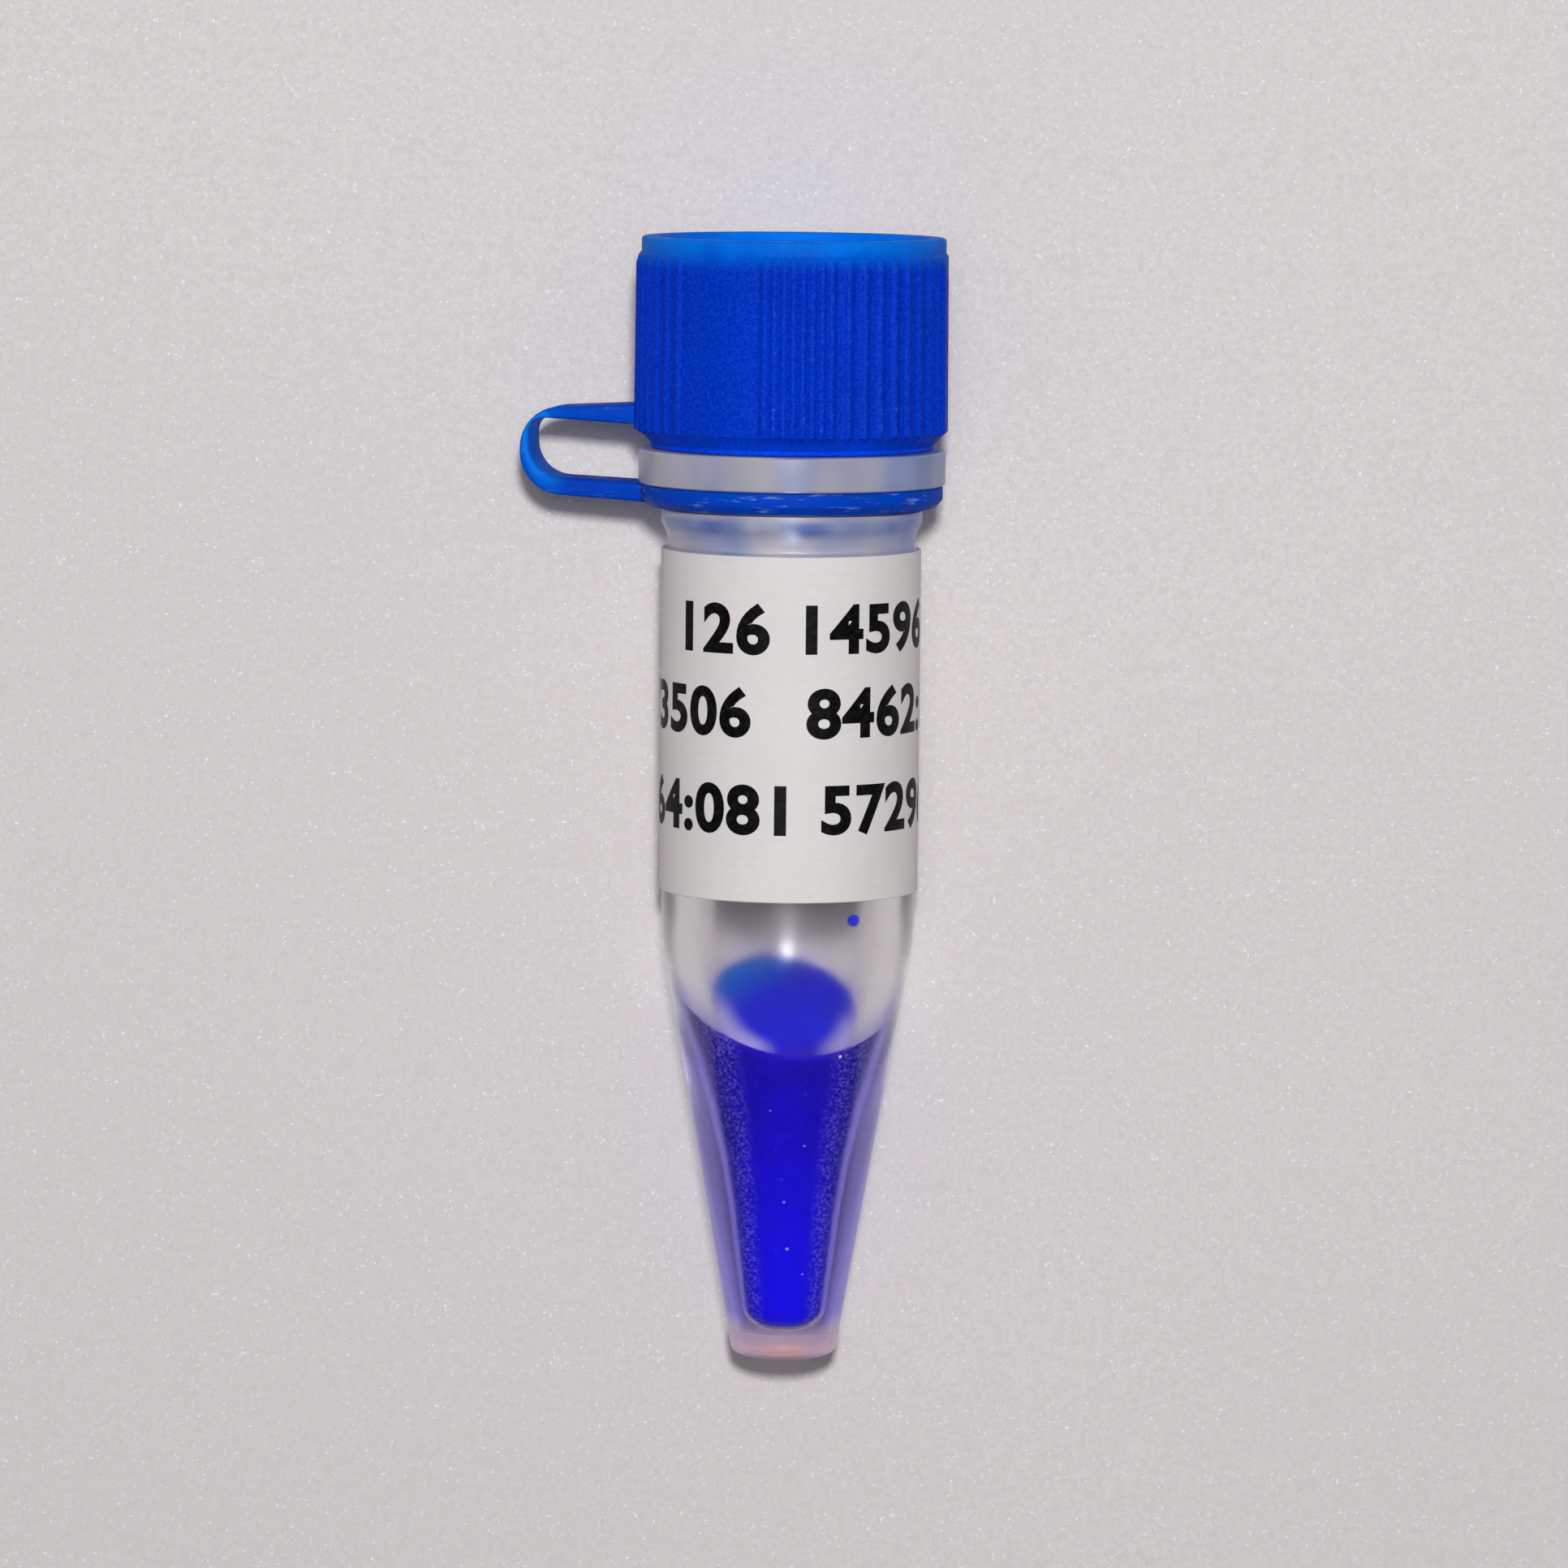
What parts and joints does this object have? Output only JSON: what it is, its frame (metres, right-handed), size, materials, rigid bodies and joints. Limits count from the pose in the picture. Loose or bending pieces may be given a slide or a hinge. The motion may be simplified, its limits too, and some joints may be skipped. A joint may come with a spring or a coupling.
{
  "type": "screw-cap microcentrifuge tube",
  "caption": "Conical translucent lab tube with a ribbed blue screw cap on a strap and ring, an O-ring seal, a wrapped white label and a blue liquid sample inside",
  "frame": {"origin": "on the tube's axis, in the plane of the tether ring's underside, where the tube hangs in a rack", "axes": "+Z along the tube's axis from the tip to the cap, -X toward the tether's loop, which is turned 10 degrees from it to the back, -Y toward the label's front"},
  "size_m": [0.0176, 0.013, 0.0462],
  "materials": {
    "clear_plastic": "translucent natural polypropylene, slightly milky",
    "blue_plastic": "moulded polypropylene, satin",
    "seal_rubber": "moulded silicone",
    "label_paper": "matt coated paper with a black print",
    "sample_liquid": "deep blue clear liquid"
  },
  "bodies": {
    "tube": {"tube_body": "clear_plastic", "label": "label_paper", "liquid_sample": "sample_liquid", "liquid_droplet": "sample_liquid"},
    "ring": {"tether_ring": "blue_plastic", "tether_strap": "blue_plastic"},
    "cap": {"screw_cap": "blue_plastic", "cap_o_ring": "seal_rubber"}
  },
  "joints": [
    {"name": "cap_turn", "type": "hinge", "parent": "tube", "child": "ring", "pos_m": [0, 0, 0], "axis": [0, 0, 1], "range_deg": [0, 540]},
    {"name": "cap_lift", "type": "slide", "parent": "ring", "child": "cap", "axis": [0, 0, 1], "range_m": [0, 0.0036], "deforming": ["tether_strap"]}
  ],
  "couplings": [
    {"joint": "cap_turn", "follows": "cap_lift", "rad_per_m": 2618}
  ]
}
